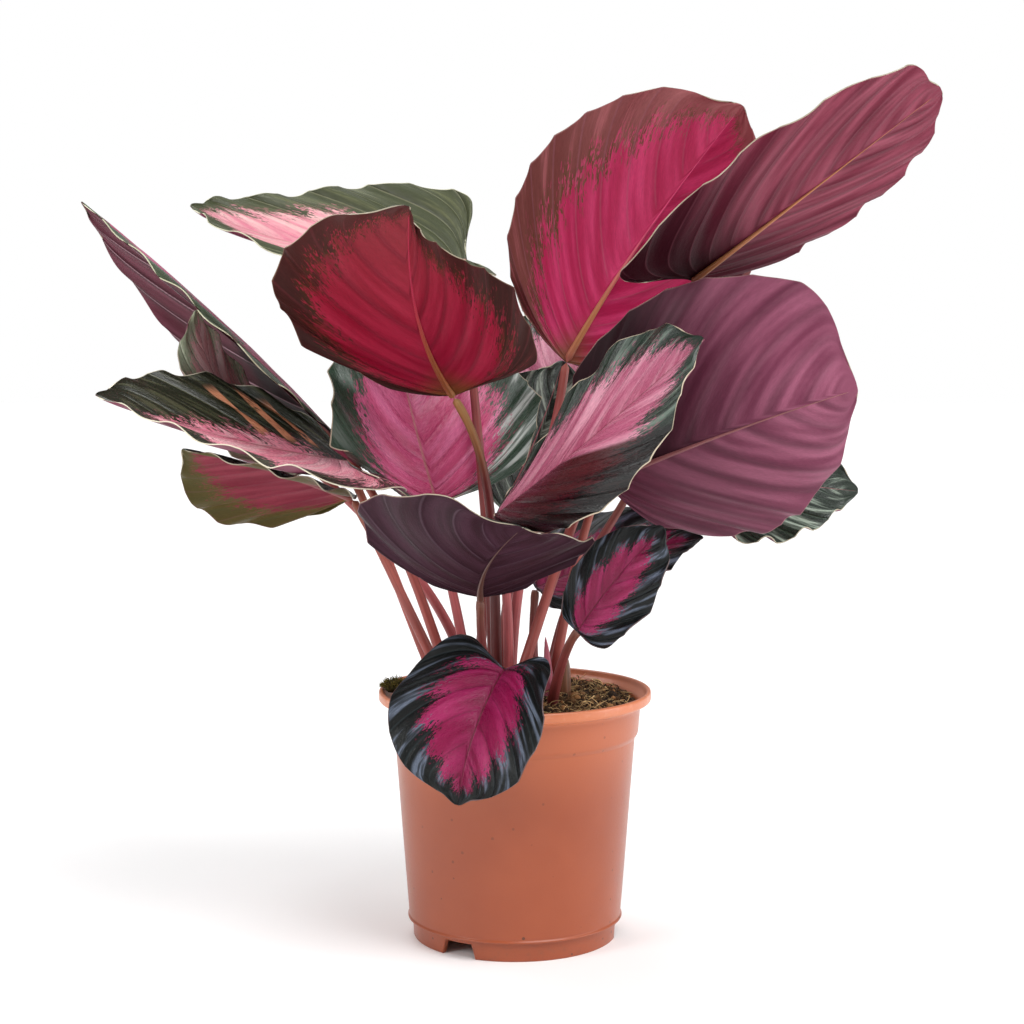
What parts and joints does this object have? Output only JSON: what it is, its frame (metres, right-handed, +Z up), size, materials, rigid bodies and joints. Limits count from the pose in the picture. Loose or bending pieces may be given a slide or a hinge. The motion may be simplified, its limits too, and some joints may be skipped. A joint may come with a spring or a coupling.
{
  "type": "potted foliage plant",
  "caption": "Leafy prayer plant with broad oval leaves, pink and green above and purple below, on slender stalks in a round tapered plastic nursery pot.",
  "frame": {"origin": "middle of the whole plant's footprint, on the surface that the pot stands on; the pot's axis is at x 10.7 mm, y 8.6 mm", "axes": "+Z up along the pot, -Y towards the front of the plant, +X to its right"},
  "size_m": [0.4262, 0.2432, 0.4332],
  "materials": {
    "pot_plastic": "satin moulded plastic",
    "soil": "rough crumbly peat with fibres",
    "root": "fibrous",
    "leaf": "satin leaf, patterned above and purple below",
    "stalk": "smooth fleshy stalk",
    "sheath": "dry papery sheath"
  },
  "bodies": {
    "root": {"pot": "pot_plastic", "soil": "soil", "rootstock": "root", "blade_01": "leaf", "stalk_01": "stalk", "blade_02": "leaf", "stalk_02": "stalk", "blade_03": "leaf", "stalk_03": "stalk", "blade_04": "leaf", "stalk_04": "stalk", "blade_05": "leaf", "stalk_05": "stalk", "blade_06": "leaf", "stalk_06": "stalk", "blade_07": "leaf", "stalk_07": "stalk", "blade_08": "leaf", "stalk_08": "stalk", "blade_09": "leaf", "stalk_09": "stalk", "blade_10": "leaf", "stalk_10": "stalk", "blade_11": "leaf", "stalk_11": "stalk", "blade_12": "leaf", "stalk_12": "stalk", "blade_13": "leaf", "stalk_13": "stalk", "blade_14": "leaf", "stalk_14": "stalk", "blade_15": "leaf", "stalk_15": "stalk", "blade_16": "leaf", "stalk_16": "stalk", "blade_17": "leaf", "stalk_17": "stalk", "blade_18": "leaf", "stalk_18": "stalk", "shoot_pink": "stalk", "shoot_sheath": "sheath", "shoot_short": "sheath"}
  },
  "joints": []
}
